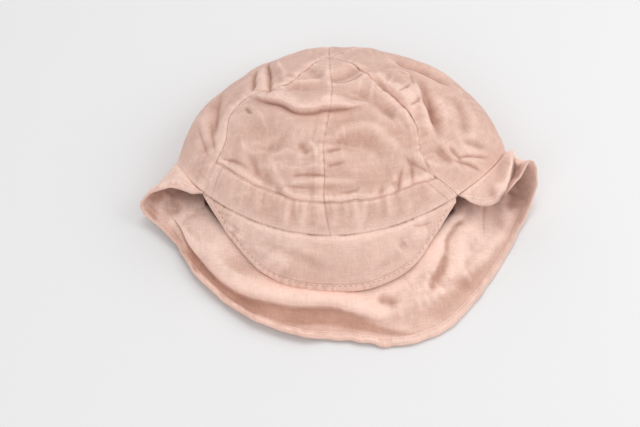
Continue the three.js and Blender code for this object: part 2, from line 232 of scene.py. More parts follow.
# Folds. Each one follows a line of places, and is raised (+) or sunk (-) by height.
# width is how far it spreads to each side. A soft fold is round and a crease is sharp.
# A roll drops sharply on its near side: hang moves its crest over the hollow beside it.
# The places are angle and t on the crown, and s and r on the flap and the peak.
def newFold(kind, height, width, places, **more):
    return {"kind": kind, "height": height, "width": width, "places": places, **more}


crownFolds = [
    # the long lip below the crown's point, and the hollows above and below it
    newFold("roll", 3.4, 6.5, [(-55, 0.538), (-45, 0.556), (-36, 0.574), (-27, 0.578),
            (-18.5, 0.57), (-11, 0.578), (-3, 0.592), (6, 0.596), (13, 0.594), (22, 0.59)],
            drop=2.0, hollow=2.8, hang=2.6, taper=0.24),
    newFold("soft", 1.2, 6, [(-50, 0.575), (-40, 0.605), (-28, 0.635), (-14, 0.64), (2, 0.645),
            (12, 0.65)]),
    newFold("crease", -2.6, 1.6, [(-56, 0.552), (-47, 0.592), (-41, 0.61), (-29, 0.638)]),
    newFold("soft", -1.8, 5, [(-38, 0.67), (-28, 0.66), (-16, 0.672), (-6, 0.685)]),
    newFold("soft", -3.8, 6.0, [(-6, 0.794), (2, 0.788), (10, 0.784), (19, 0.784), (28, 0.792),
            (37, 0.812), (44, 0.825)], taper=0.25),
    newFold("soft", -2.8, 5.0, [(-42, 0.842), (-32, 0.826), (-22, 0.808), (-12, 0.796),
            (-1, 0.79)]),
    newFold("crease", -1.4, 1.4, [(-3, 0.756), (5, 0.75), (14, 0.747), (22, 0.751), (30, 0.764),
            (38, 0.787)], taper=0.2),
    newFold("crease", -0.6, 1.6, [(-28, 0.784), (-20, 0.77), (-11, 0.762), (-4, 0.76)]),
    newFold("soft", -1.4, 5, [(15, 0.7), (17, 0.665), (17.5, 0.625), (17, 0.6)]),
    # the slack to the left of the right seam
    newFold("soft", -4.6, 5.5, [(16, 0.735), (21, 0.685), (25, 0.625), (28, 0.555), (30, 0.49),
            (31, 0.43)]),
    newFold("soft", 1.4, 8, [(0, 0.53), (12, 0.548), (18, 0.52), (24, 0.45), (30, 0.37)]),
    # the puff to the right of it
    newFold("roll", 3.2, 6.5, [(34.5, 0.76), (37.0, 0.705), (38.8, 0.645), (39.8, 0.585),
            (40.3, 0.52), (40.3, 0.45)], drop=1.8, hollow=2.0, hang=1.8, taper=0.26),
    newFold("soft", 2.6, 7.0, [(42, 0.74), (49, 0.7), (50, 0.64), (47.5, 0.58), (45, 0.52),
            (43, 0.44)]),
    newFold("crease", 1.0, 2.4, [(42, 0.73), (50, 0.725), (56, 0.69), (56, 0.64), (52, 0.575),
            (48, 0.505), (45, 0.43), (42, 0.35)]),
    newFold("crease", -1.6, 1.8, [(37.5, 0.562), (41.5, 0.58), (45.5, 0.582), (51, 0.596)]),
    newFold("crease", -1.4, 1.6, [(37, 0.505), (41, 0.497), (46, 0.506), (50, 0.525)]),
    newFold("crease", -1.4, 1.8, [(58, 0.65), (54, 0.608), (50, 0.57)]),
    # the hollows right of the puff and the long crease above them
    newFold("soft", -4.2, 4.8, [(60, 0.61), (54, 0.53), (51, 0.48), (50, 0.44), (48, 0.395),
            (46, 0.345), (44, 0.29)]),
    newFold("crease", -3.2, 3.0, [(54, 0.5), (50, 0.44), (47.5, 0.395), (45, 0.34)]),
    newFold("soft", -3.4, 4.6, [(80, 0.79), (75, 0.745), (71.5, 0.695), (71, 0.64), (71, 0.585),
            (72, 0.53), (73, 0.475), (74, 0.41)]),
    newFold("crease", -1.6, 3.0, [(75, 0.75), (72, 0.705), (71, 0.655), (71, 0.605), (72, 0.55)]),
    newFold("soft", 1.4, 6.0, [(88, 0.74), (83, 0.68), (80, 0.61), (80, 0.54), (81, 0.45)]),
    newFold("soft", 1.2, 7.0, [(62, 0.71), (62, 0.62), (62, 0.54), (60, 0.44)]),
    # the folds at the upper left, where a gore is turned over
    newFold("crease", -3.6, 2.4, [(-108, 0.735), (-84, 0.705), (-67, 0.688), (-52, 0.652),
            (-43, 0.598), (-40, 0.57)]),
    newFold("soft", 1.8, 3.4, [(-82, 0.675), (-64, 0.64), (-55, 0.612), (-46, 0.565)]),
    newFold("crease", -2.8, 2.6, [(-90, 0.65), (-70, 0.612), (-60, 0.582), (-52, 0.535)]),
    newFold("crease", 1.0, 2.6, [(-95, 0.765), (-66, 0.745), (-48, 0.728), (-31, 0.69)]),
    newFold("soft", -1.2, 5, [(-84, 0.73), (-60, 0.71), (-42, 0.67)]),
    newFold("crease", -2.6, 1.6, [(-50, 0.47), (-46, 0.461), (-41, 0.452)]),
    newFold("crease", 1.0, 3.0, [(-50, 0.498), (-42, 0.482), (-35, 0.455), (-28, 0.4)]),
    # the left side
    newFold("soft", -2.4, 5, [(-88, 0.48), (-76, 0.41), (-67, 0.36), (-60, 0.305), (-54, 0.23)]),
    newFold("crease", -1.3, 3, [(-78, 0.42), (-67, 0.36), (-60, 0.305), (-55, 0.25)]),
    newFold("soft", 1.2, 6, [(-98, 0.38), (-78, 0.29), (-66, 0.22), (-58, 0.15)]),
    newFold("crease", -1.6, 3.4, [(-76, 0.26), (-62, 0.2), (-53, 0.15)]),
    newFold("crease", -1.3, 2.4, [(-68, 0.32), (-57, 0.245), (-50, 0.19)]),
    # the right dome of the front, with its arched ridge
    newFold("soft", 1.5, 4.6, [(-6, 0.375), (-2.5, 0.415), (2, 0.443), (7, 0.463), (12, 0.47),
            (17, 0.463), (21, 0.44), (24, 0.395), (26, 0.348), (27, 0.295), (28, 0.23)]),
    newFold("soft", -1.8, 6, [(-2, 0.365), (3, 0.4), (8, 0.415), (14, 0.405), (19, 0.36),
            (22, 0.28)]),
    newFold("soft", 1.0, 9, [(2, 0.3), (12, 0.3), (22, 0.25)]),
    newFold("crease", -1.5, 2.2, [(-2, 0.362), (1.5, 0.378), (6, 0.384)]),
    newFold("crease", -1.1, 2.0, [(-2, 0.302), (1.5, 0.314), (6.5, 0.326)]),
    # the creases that run down to the left of the band's middle
    newFold("soft", -1.8, 9, [(-48, 0.44), (-36, 0.39), (-26, 0.36), (-18, 0.32)]),
    newFold("soft", 1.4, 9, [(-34, 0.52), (-20, 0.47), (-10, 0.45), (-4, 0.41)]),
    newFold("soft", -1.9, 3.0, [(-38, 0.29), (-33, 0.262), (-29, 0.222), (-25, 0.195),
            (-19, 0.16)]),
    newFold("soft", -1.6, 2.6, [(-28, 0.255), (-25, 0.232), (-22.5, 0.2), (-18, 0.168),
            (-12, 0.152)]),
    newFold("crease", 1.1, 3.6, [(-28, 0.335), (-21.5, 0.255), (-17.5, 0.2), (-13.5, 0.145)]),
    newFold("crease", 1.0, 4.0, [(-44, 0.37), (-38, 0.31), (-33.5, 0.255), (-29, 0.18)]),
    newFold("crease", -1.8, 2.8, [(-49, 0.178), (-42, 0.212), (-37, 0.218), (-30, 0.205)]),
    newFold("crease", -1.6, 2.2, [(-16, 0.245), (-10, 0.264), (-5, 0.268), (0, 0.264)]),
    newFold("soft", 1.0, 2.6, [(-18, 0.215), (-8, 0.24), (-2, 0.246), (6, 0.24), (11, 0.22)]),
    newFold("crease", -0.6, 1.6, [(-18, 0.176), (-16, 0.198), (-10, 0.209), (-5, 0.203)]),
    newFold("crease", -0.7, 1.8, [(1, 0.2), (5, 0.191), (9, 0.195), (11, 0.215)]),
    newFold("soft", -1.1, 2.6, [(-15, 0.395), (-11.5, 0.375), (-9.5, 0.34)]),
    newFold("crease", 0.8, 3.0, [(-10, 0.42), (-7, 0.385), (-5, 0.335)]),
    # the creases at the band's right end
    newFold("crease", -2.4, 2.6, [(27.5, 0.305), (29.8, 0.25), (30.3, 0.205), (29.5, 0.145)]),
    newFold("crease", -1.6, 2.0, [(29, 0.28), (32, 0.23), (35, 0.188), (40, 0.115)]),
    newFold("crease", 1.2, 4.0, [(30, 0.315), (34, 0.25), (38, 0.2), (44, 0.14)]),
    newFold("crease", -1.8, 2.8, [(27, 0.26), (25.5, 0.2), (23.5, 0.145)]),
    newFold("crease", 0.9, 3.6, [(24, 0.26), (22.5, 0.2), (20, 0.15)]),
    newFold("crease", -1.3, 2.4, [(15, 0.162), (20, 0.18), (24.5, 0.205)]),
    newFold("soft", -2.0, 4.4, [(44, 0.305), (44, 0.235), (45.5, 0.185), (48, 0.12)]),
    # the right side, by the neck seam
    newFold("soft", -1.8, 5, [(68, 0.45), (64, 0.355), (60, 0.29), (55, 0.215)]),
    newFold("soft", 1.2, 6, [(74, 0.37), (66, 0.27), (60, 0.21), (54, 0.15)]),
    newFold("soft", -1.5, 3.2, [(54, 0.24), (58, 0.195), (63, 0.15), (69, 0.105)]),
    newFold("crease", -1.9, 2.0, [(49, 0.165), (55, 0.138), (61, 0.096), (69, 0.04)]),
    newFold("crease", -2.1, 2.8, [(46, 0.185), (50, 0.135), (54, 0.095), (57.5, 0.045), (60, 0.0)]),
    newFold("crease", -1.6, 2.8, [(47.5, 0.26), (50, 0.185), (52, 0.12)]),
]
flapFolds = [
    newFold("crease", -3.8, 2.6, [(0.185, 0.74), (0.205, 0.8), (0.235, 0.86), (0.264, 0.89),
            (0.301, 0.908), (0.339, 0.902), (0.388, 0.892), (0.43, 0.888)]),
    newFold("roll", 3.6, 8, [(0.28, 0.88), (0.32, 0.835), (0.36, 0.8), (0.4, 0.78), (0.44, 0.768),
            (0.48, 0.772), (0.51, 0.8), (0.545, 0.87)], drop=5.6, hollow=3.4, hang=1.2, taper=0.3),
    newFold("soft", -1.0, 5, [(0.515, 0.74), (0.532, 0.76), (0.552, 0.8)]),
    newFold("crease", -4.0, 2.4, [(0.4, 0.9), (0.44, 0.89), (0.473, 0.89), (0.508, 0.9),
            (0.541, 0.935), (0.565, 0.965)]),
    newFold("soft", -2.2, 4.0, [(0.672, 0.4), (0.658, 0.5), (0.632, 0.575), (0.611, 0.655),
            (0.594, 0.76), (0.588, 0.81)]),
    newFold("soft", 2.0, 6, [(0.655, 0.62), (0.63, 0.7), (0.612, 0.8)]),
    newFold("soft", 2.4, 5, [(0.78, 0.4), (0.752, 0.6), (0.735, 0.82)]),
    newFold("soft", -2.6, 3.6, [(0.785, 0.5), (0.765, 0.6), (0.745, 0.7)]),
    newFold("crease", -1.2, 3.2, [(0.712, 0.42), (0.697, 0.55), (0.686, 0.68)]),
    newFold("roll", -4.6, 4.6, [(0.862, 0.24), (0.876, 0.38), (0.893, 0.52), (0.913, 0.66),
            (0.932, 0.8), (0.945, 0.96)], drop=2.4, hollow=-8.5, hang=1.8, taper=0.22),
    newFold("soft", -3.0, 4.5, [(0.846, 0.06), (0.856, 0.18), (0.868, 0.32)]),
    newFold("soft", -2.0, 6, [(0.856, 0.45), (0.862, 0.62), (0.866, 0.8)]),
    newFold("soft", 1.4, 4, [(0.155, 0.85), (0.17, 0.65), (0.185, 0.5)]),
    newFold("soft", -1.4, 5, [(0.175, 0.9), (0.2, 0.7), (0.23, 0.5)]),
]
peakFolds = [
    newFold("crease", -0.8, 2.2, [(0.08, 0.55), (0.12, 0.38), (0.17, 0.15)]),
    newFold("crease", -0.7, 2.4, [(0.16, 0.72), (0.18, 0.62), (0.22, 0.45)]),
    newFold("soft", 0.8, 5, [(0.1, 0.3), (0.18, 0.4), (0.26, 0.3)]),
    newFold("crease", -0.7, 1.8, [(0.1, 0.62), (0.16, 0.5), (0.24, 0.38)]),
    newFold("crease", 0.6, 2.0, [(0.12, 0.8), (0.18, 0.62), (0.27, 0.5)]),
    newFold("soft", -1.1, 5, [(0.25, 0.45), (0.34, 0.4), (0.45, 0.5), (0.51, 0.72)]),
    newFold("soft", 0.9, 6, [(0.3, 0.65), (0.4, 0.7)]),
    newFold("crease", -1.0, 2.2, [(0.8, 0.1), (0.84, 0.3), (0.9, 0.5)]),
    newFold("soft", 1.0, 4, [(0.79, 0.25), (0.83, 0.45), (0.87, 0.6)]),
    newFold("soft", -1.0, 3.5, [(0.73, 0.5), (0.76, 0.43), (0.78, 0.36)]),
    newFold("soft", -0.8, 4, [(0.62, 0.66), (0.7, 0.6), (0.76, 0.55)]),
]


def foldLines(form, folds):  # turns each fold's places into a line of points on the form
    lines = []
    for fold in folds:
        places = np.array(fold["places"], float)
        rows = {"k": np.arange(len(places)), "u": places[:, 0], "v": places[:, 1]}
        k = np.linspace(0, len(places) - 1, 3 * (len(places) - 1) + 1)
        lines.append({**fold, "line": form(column(rows, "u", k, "k"), column(rows, "v", k, "k"))})
    return lines


# The distance to a line of points, how far along it that is, the step from it, and its way there
def nearestOn(line, points):
    best = np.full(len(points), 1e9)
    share = np.zeros(len(points))
    away = np.zeros(points.shape)
    aim = np.zeros(points.shape)
    for k, (a, b) in enumerate(zip(line[:-1], line[1:])):
        along = b - a
        f = np.clip((points - a) @ along / (along @ along), 0, 1)
        gap = points - a - f[:, None] * along
        distance = size(gap)
        closer = distance < best
        best[closer] = distance[closer]
        share[closer] = (k + f)[closer] / (len(line) - 1)
        away[closer] = gap[closer]
        aim[closer] = along / size(along)
    return best, share, away, aim


def foldMove(points, out, lines):  # how far the folds move each point
    move = np.zeros(points.shape)
    bend = np.stack([lattice(points, 16, k) for k in (31, 32, 33)], -1)
    strength = 1 + 0.3 * lattice(points, 18, 37)
    for fold in lines:
        line = fold["line"]
        reach = 3 * fold["width"]
        inside = ((points > line.min(0) - reach) & (points < line.max(0) + reach)).all(-1)
        if not inside.any():
            continue
        width = fold["width"]
        p = points[inside] + bend[inside] * min(0.4 * width, 1.6)
        o = out[inside]
        best, share, away, aim = nearestOn(line, p)
        side = unit(np.cross(aim, o))
        across = best * np.where((away * side).sum(-1) < 0, -1, 1)
        taper = fold.get("taper", 0.36)
        fade = smooth(share, 0, taper) * (1 - smooth(share, 1 - taper, 1))
        width = width * (0.6 + 0.4 * fade)
        if fold["kind"] == "soft":
            lift = fold["height"] * np.exp(-(across / width) ** 2)
        elif fold["kind"] == "crease":
            lift = fold["height"] * np.exp(-(np.sqrt(across ** 2 + 0.12) - 0.35) / (0.62 * width))
        else:
            drop = fold["drop"]
            far = fold["height"] * np.exp(-(across / width) ** 2)
            near = (fold["height"] + fold["hollow"]) * np.exp(-(across / drop) ** 2)
            hollow = fold["hollow"] * np.exp(-(across / (2.6 * drop)) ** 2)
            lift = np.where(across < 0, far, near - hollow)
            hang = fold["hang"] * np.exp(-((across + 0.3 * drop) / (1.3 * drop)) ** 2) * fade
            move[inside] += side * hang[:, None]
        move[inside] += o * (lift * fade * strength[inside])[:, None]
    return move


def wrinkles(points, out, amount, seed):  # the fine crumple of washed linen
    warp = np.stack([lattice(points, 16, seed + k) for k in (1, 2, 3)], -1)
    broad = lattice(points + 5 * warp, 22, seed + 4)
    ridged = 1 - 2 * np.abs(lattice(points + 4 * warp, 11, seed + 5))
    fine = 1 - 2 * np.abs(lattice(points + 2 * warp, 5, seed + 6))
    patch = 0.35 + 0.65 * smooth(lattice(points, 26, seed + 7), -0.3, 0.6)
    return out * (amount * (0.75 * broad + (0.36 * ridged + 0.14 * fine) * patch))[..., None]


crownLines = foldLines(crownForm, crownFolds)
crumple = {"crown": 1.25, "peak": 0.6, "flap": 0.85}  # mm
dimple = {"depth": 1.6, "reach": 3.2}  # where the gores meet


def crownCloth(angle, t):  # the middle of the crown's cloth, and the way out of it
    base = crownForm(angle, t)
    out = outward(crownForm, angle, np.minimum(t, 0.97), 0.5, 0.004)
    free = smooth(t, 0, 0.08) * (1 - smooth(t, 0.86, 0.97))
    flat = base.reshape(-1, 3)
    folded = foldMove(flat, out.reshape(-1, 3), crownLines).reshape(base.shape)
    point = base + (folded + wrinkles(base, out, crumple["crown"], 10)) * free[..., None]
    sunk = dimple["depth"] * np.exp(-(size(base - crownForm(0, 1)) / dimple["reach"]) ** 2)
    return point - out * sunk[..., None], out


# Where a sheet's rows lie, in millimetres from an edge. The cloth is turned in at a sewn edge's first ones.
seamStops = np.array([-1.6, -0.6, 0.0, 0.15, 0.35, 0.65, 1.1, 1.8, 2.7])
freeStops = np.array([0.0, 0.4, 1.0, 1.8])
pointStops = np.array([0.0, 0.3, 0.8, 1.5, 2.3])
bandSideStops = np.array([-2.2, -1.2, -0.4, 0.2, 0.8, 1.6, 2.6])
seam = {
    "depth": 0.7,
    "width": 0.32,
    "soften": 0.2,
    "allowance": 0.25,
    "pucker": 0.22,
    "puckerSpacing": 6.5,
}


def stops(width, step, first, last):  # rows at the given distances from both edges, and evenly between
    width = np.atleast_1d(np.asarray(width, float))[:, None]
    ends = first[-1] + last[-1]
    shrink = np.minimum(1, width / (2 * ends))
    a = first * shrink
    b = width - last[::-1] * shrink
    count = max(int(round((width.max() - ends) / step)), 2)
    return np.hstack([a, a[:, -1:] + (b[:, :1] - a[:, -1:]) * np.arange(1, count) / count, b])


# how far each seam sinks, and how strong its painted shade is
seamShare = {"front": 0.5, "frontLeft": 0.85, "frontRight": 1.0}  # how deep and dark each seam shows
otherSeams = 0.7
bandFrontSeam = 0.32  # the front seam's share across the band


def seamDrop(distance):  # how far cloth sinks beside a seam
    inside = np.maximum(distance, 0)
    sharp = seam["depth"] * np.exp(-(inside / seam["width"]) ** 1.2)
    broad = seam["soften"] * np.exp(-(inside / 2) ** 2)
    return sharp + broad + np.maximum(-distance, 0)


def inset(distance, wall):  # keeps a wall's rounded edge on its own side of the seam
    return 0.32 * wall * np.exp(-(np.maximum(distance, 0) / (1.25 * wall)) ** 2)


# painted shade: 1 on a seam, for the shade down in it, painted into the cloth's colour
def paintedShade(*distances):  # 1 on a seam, for the dark line it shows as
    return sum(np.exp(-(np.maximum(d, 0) / 0.36) ** 2) for d in distances)


def allowanceLift(distance):  # the turned seam allowance under one side of a seam
    return seam["allowance"] * smooth(distance, 0.6, 1.8) * (1 - smooth(distance, 4.5, 6.5))


def pucker(along, distance, seed):
    wander = lattice(np.stack([along, 0 * along, 0 * along], -1), 14, seed)
    wave = np.cos(2 * np.pi * along / seam["puckerSpacing"] + 3.5 * wander)
    return seam["pucker"] * wave * np.exp(-np.maximum(distance, 0) / 3.5) * (0.6 + 0.6 * wander)


def runLength(points, axis):  # distance along a grid of points
    steps = size(np.diff(points, axis=axis))
    start = np.zeros_like(np.take(steps, [0], axis=axis))
    return np.concatenate([start, np.cumsum(steps, axis=axis)], axis=axis)


def gridNormals(points):
    along = np.gradient(points, axis=1)
    up = np.gradient(points, axis=0)
    return unit(np.cross(along, up))


def blur(values, radius):  # mean over a square of the grid
    for axis in (0, 1):
        pad = [(0, 0)] * values.ndim
        pad[axis] = (radius + 1, radius)
        summed = np.cumsum(np.pad(values, pad, mode="edge"), axis=axis)
        n = values.shape[axis]
        high = np.take(summed, range(2 * radius + 1, 2 * radius + 1 + n), axis=axis)
        low = np.take(summed, range(0, n), axis=axis)
        values = (high - low) / (2 * radius + 1)
    return values


# rise goes to the colour: painted shade, browner and darker in the hollows, and lighter crests, partly painted
# light and partly worn linen
def riseOf(points, normals):  # +1 on crests and -1 in hollows, for the cloth's colour
    near = ((points - blur(points, 3)) * normals).sum(-1) / 0.22
    broad = ((points - blur(points, 9)) * normals).sum(-1) / 0.9
    return np.clip(0.5 * near + 0.6 * broad, -1.5, 1.5)


surfaces = {}  # each sheet's points, the way out of them and half its wall


def makeSheet(name, node, points, u, v, line, material, wall, thin=None, seen=1):
    rows, columns = points.shape[:2]
    bm = bmesh.new()
    bmesh.ops.create_grid(bm, x_segments=columns - 1, y_segments=rows - 1, size=0.5)
    mesh = bpy.data.meshes.new(name)
    bm.to_mesh(mesh)
    bm.free()
    place = np.zeros(3 * len(mesh.vertices))
    mesh.vertices.foreach_get("co", place)
    place = place.reshape(-1, 3)
    i = np.rint((place[:, 0] + 0.5) * (columns - 1)).astype(int)
    j = np.rint((place[:, 1] + 0.5) * (rows - 1)).astype(int)
    moved = (points[j, i] - rowFrameShift) * metre
    mesh.vertices.foreach_set("co", moved.astype(np.float32).ravel())
    corner = np.zeros(len(mesh.loops), np.int32)
    mesh.loops.foreach_get("vertex_index", corner)
    weave = np.stack([u[j, i], v[j, i]], -1)[corner] * metre
    mesh.uv_layers.new(name="weave").data.foreach_set("uv", weave.astype(np.float32).ravel())
    out = gridNormals(points)
    surfaces[name] = (points, out, wall / 2)
    rise = (seen * riseOf(points, out))[j, i]  # seen is -1 where a sheet shows its other side
    mesh.attributes.new("rise", "FLOAT", "POINT").data.foreach_set("value", rise.astype(np.float32))
    # the painted shade of seams, the right fold's hollow and the band's edges, made patchy, goes to the
    # material as an attribute
    patchy = np.clip(0.62 + 0.5 * lattice(points, 9, 71) + 0.3 * lattice(points, 2, 72), 0.15, 1)
    shaded = np.clip(line * patchy, 0, 1)[j, i].astype(np.float32)
    mesh.attributes.new("paintedShade", "FLOAT", "POINT").data.foreach_set("value", shaded)
    mesh.polygons.foreach_set("use_smooth", np.ones(len(mesh.polygons), bool))
    mesh.materials.append(material)
    bm = bmesh.new()
    bm.from_mesh(mesh)
    bmesh.ops.remove_doubles(bm, verts=bm.verts, dist=0.02 * metre)
    bm.to_mesh(mesh)
    bm.free()
    piece = bpy.data.objects.new(name, mesh)
    scene.collection.objects.link(piece)
    shell = piece.modifiers.new("wall", "SOLIDIFY")
    shell.thickness = wall * metre
    shell.offset = 0
    if thin is not None:  # the wall narrows where thin says, as at a pressed edge
        group = piece.vertex_groups.new(name="full")
        share = thin[j, i]
        for value in np.unique(np.round(share, 2)):
            chosen = np.nonzero(np.round(share, 2) == value)[0]
            group.add([int(k) for k in chosen], float(value), "REPLACE")
        shell.vertex_group = "full"
    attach(piece, "root")
    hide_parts(node)
    return piece


scene = bpy.context.scene


class Shade:  # a socket of a material, so that shader maths reads as plain sums
    def __init__(self, tree, socket=None):
        self.tree = tree
        self.socket = socket

    def node(self, kind, settings=None, inputs=None, out=0):
        made = self.tree.nodes.new("ShaderNode" + kind)
        for key, value in (settings or {}).items():
            if key == "stops":
                for stop, (position, colour) in zip(made.color_ramp.elements, value):
                    stop.position = position
                    stop.color = colour
            else:
                setattr(made, key, value)
        for key, value in (inputs or {}).items():
            if isinstance(value, Shade):
                self.tree.links.new(value.socket, made.inputs[key])
            else:
                made.inputs[key].default_value = value
        return Shade(self.tree, made.outputs[out] if made.outputs else None)

    def sum(self, operation, a, b=0.0):
        return self.node("Math", {"operation": operation}, {0: a, 1: b})

    def __add__(self, other):
        return self.sum("ADD", self, other)

    def __radd__(self, other):
        return self.sum("ADD", other, self)

    def __sub__(self, other):
        return self.sum("SUBTRACT", self, other)

    def __rsub__(self, other):
        return self.sum("SUBTRACT", other, self)

    def __mul__(self, other):
        return self.sum("MULTIPLY", self, other)

    def __rmul__(self, other):
        return self.sum("MULTIPLY", other, self)

    def sine(self):
        return self.sum("SINE", self)


def linear(colour):  # the shader's colour for an sRGB one, given as 0 to 255
    c = np.array(colour) / 255
    return (*np.where(c < 0.04045, c / 12.92, ((c + 0.055) / 1.055) ** 2.4), 1.0)


linen = {
    "colour": (223, 186, 172),
    # The next two colours end the ramp: lighter crests, partly worn linen and partly painted light, and painted
    # shade in the hollows
    "fadedAndLit": (234, 202, 189),
    "deep": (192, 142, 122),
    # seam: the colour of painted shade, down in seams, in the right fold's hollow and under the band's edge
    "seam": (112, 64, 48),  # the shade down in a seam
    "threadSpacing": 0.55,  # mm
    "threadRelief": 0.14,  # mm
    "slubLength": 7,
    "slubWidth": 0.9,
    "mottle": 0.30,  # share of brightness
    "thread": 0.32,
    "fuzz": 0.42,
    "roughness": 0.92,
    "sheen": 0.18,
}


def linenMaterial(name, tint=1.0, wearAndShade=0.6, fade=0.0):
    material = bpy.data.materials.new(name)
    material.use_nodes = True
    tree = material.node_tree
    tree.nodes.clear()
    shade = Shade(tree)
    uv = shade.node("UVMap", {"uv_map": "weave"})
    inMillimetres = shade.node("Mapping", {}, {"Vector": uv, "Scale": (1000, 1000, 1000)})
    wander = shade.node("TexNoise", {}, {"Vector": inMillimetres, "Scale": 0.12, "Detail": 1.0}, "Color")
    wandered = shade.node("VectorMath", {"operation": "MULTIPLY_ADD"},
                          {0: wander, 1: (1.6, 1.6, 0), 2: inMillimetres})
    across = shade.node("SeparateXYZ", {}, {0: wandered}, "X")
    along = shade.node("SeparateXYZ", {}, {0: wandered}, "Y")
    turnRate = math.pi / linen["threadSpacing"]
    weave = (across * turnRate).sine() * (along * turnRate).sine()

    def threads(stretch, shift):  # uneven threads that run one way
        moved = shade.node("Mapping", {}, {"Vector": wandered, "Location": (shift, shift, 0), "Scale": stretch})
        return shade.node("TexNoise", {}, {"Vector": moved, "Scale": 1.0, "Detail": 2.0, "Roughness": 0.6})

    warpThreads = threads((1 / linen["slubWidth"], 1 / linen["slubLength"], 1), 3.0)
    weftThreads = threads((1 / linen["slubLength"], 1 / linen["slubWidth"], 1), 41.0)
    objectPlace = shade.node("TexCoord", {}, None, "Object")
    mottle = shade.node("TexNoise", {},
                        {"Vector": objectPlace, "Scale": 95.0, "Detail": 4.0, "Roughness": 0.62})
    wash = shade.node("TexNoise", {}, {"Vector": objectPlace, "Scale": 28.0, "Detail": 2.0})
    fuzz = shade.node("TexNoise", {}, {"Vector": inMillimetres, "Scale": 2.2, "Detail": 3.0})
    rise = shade.node("Attribute", {"attribute_name": "rise"}, None, "Fac")
    line = shade.node("Attribute", {"attribute_name": "paintedShade"}, None, "Fac")

    uneven = warpThreads + weftThreads - 1.0
    clamped = {"operation": "MULTIPLY_ADD", "use_clamp": True}
    # the ramp: painted shade in hollows, lighter crests partly worn and partly painted light, and a random
    # washed tone
    hue = shade.node("Math", clamped, {0: rise + (wash - 0.5) * 2.4, 1: 0.4, 2: 0.5 + fade})
    tones = [(0.0, linear(linen["deep"])), (1.0, linear(linen["fadedAndLit"]))]
    ramp = shade.node("ValToRGB", {"stops": tones}, {"Fac": hue})
    plain = shade.node("Mix", {"data_type": "RGBA"}, {0: wearAndShade, 6: linear(linen["colour"]), 7: ramp}, 2)
    grain = (fuzz - 0.5) * linen["fuzz"] + weave * 0.05
    blotches = (mottle - 0.5) * linen["mottle"]
    # rise also darkens hollows and brightens crests, as painted shade and painted light
    brightness = tint * (1 + uneven * linen["thread"] + blotches + grain + rise * 0.08)
    # mixes in the painted shade of seams, hollows and band edges
    withPaintedShade = shade.node("Mix", {"data_type": "RGBA"},
                        {0: line * 0.85, 6: plain, 7: linear(linen["seam"])}, 2)
    tinted = shade.node("VectorMath", {"operation": "SCALE"}, {0: withPaintedShade, "Scale": brightness})
    height = weave * 0.30 + uneven * 1.0 + (fuzz - 0.5) * 0.5
    relief = linen["threadRelief"] * metre
    bump = shade.node("Bump", {}, {"Strength": 1.0, "Distance": relief, "Height": height}, "Normal")
    rough = shade.node("Math", clamped, {0: hue, 1: 0.06, 2: linen["roughness"] - 0.05})
    cloth = shade.node("BsdfPrincipled", {}, {
        "Base Color": tinted,
        "Roughness": rough,
        "Normal": bump,
        "Specular IOR Level": 0.25,
        "Sheen Weight": linen["sheen"],
        "Sheen Roughness": 0.5,
    })
    shade.node("OutputMaterial", {}, {"Surface": cloth})
    return material


crownMaterial = linenMaterial("washed linen, crown", 1.0)
bandMaterial = linenMaterial("washed linen, band", 0.99)
# The peak's and flap's copies are brighter and paler than the crown's; on the peak this is painted light
peakMaterial = linenMaterial("washed linen, peak", 1.10, 0.7, 0.14)
flapMaterial = linenMaterial("washed linen, flap", 1.10, 0.85, 0.25)


def makeThreadMaterial():
    material = bpy.data.materials.new("sewing thread")
    material.use_nodes = True
    surface = material.node_tree.nodes["Principled BSDF"]
    # darker than the cloth: painted shade of the stitch holes, on the thread's own colour
    surface.inputs["Base Color"].default_value = linear((206, 164, 148))
    surface.inputs["Roughness"].default_value = 0.75
    surface.inputs["Specular IOR Level"].default_value = 0.3
    return material


threadMaterial = makeThreadMaterial()
print("materials made")


# Gores
# topLine is the strength of the painted shade along the band's top
goreCloth = {"wall": 0.9, "atBand": 1.4, "atBandReach": 1.4, "rimShare": 0.8, "topLine": 1.3}
gores = {
    "gore_front_left": {"node": "crown_front_left", "left": "frontLeft", "right": "front"},
    "gore_front_right": {"node": "crown_front_right", "left": "front", "right": "frontRight"},
    "gore_side_left": {"node": "crown_side_left", "left": "backLeft", "right": "frontLeft"},
    "gore_side_right": {"node": "crown_side_right", "left": "frontRight", "right": "backRight"},
    "gore_back_left": {"node": "crown_back_left", "left": "backEndLeft", "right": "backLeft"},
    "gore_back_right": {"node": "crown_back_right", "left": "backRight", "right": "backEndRight"},
}
crownLength = 152.0  # up a gore, mm
puff = {  # how full the front gores stand just above the band
    "height": 0.7,
    "broad": 0.6,
    "fine": 0.3,
    "gathers": 0.3,
    "above": 2.2,
    "reach": 4.5,
    "ripple": 0.5,
    "rippleReach": 14,
    "cell": (3.4, 14),  # degrees and mm
    "leftShare": 0.55,
}
gathers = {  # little upright ridges: where each stands, how high, broad and slanted, and where it starts
    "angle": [-33, -27, -21.5, -14.2, -11.4, -8.6, -4.6, 1.9, 5.3, 8.4, 12.3, 15.4, 20.2, 25, 30.5, 36],
    "height": [0.2, 0.3, 0.4, 0.6, 0.4, 0.6, 0.5, 0.6, 0.4, 0.7, 0.5, 0.4, 0.5, 0.5, 0.4, 0.5],
    "width": [2.4, 2.0, 1.7, 1.3, 1.0, 1.3, 1.7, 1.5, 1.0, 1.5, 1.2, 1.7, 1.5, 2.0, 1.9, 2.6],
    "lean": [2, 1, -2, -1, 1, -1, 2, -1, 1, 1, -2, 1, -1, 2, -2, 2],
    "low": [0.3, 0.2, 0.4, 0.15, 0.5, 0.1, 0.3, 0.2, 0.5, 0.1, 0.35, 0.5, 0.2, 0.3, 0.4, 0.3],
}
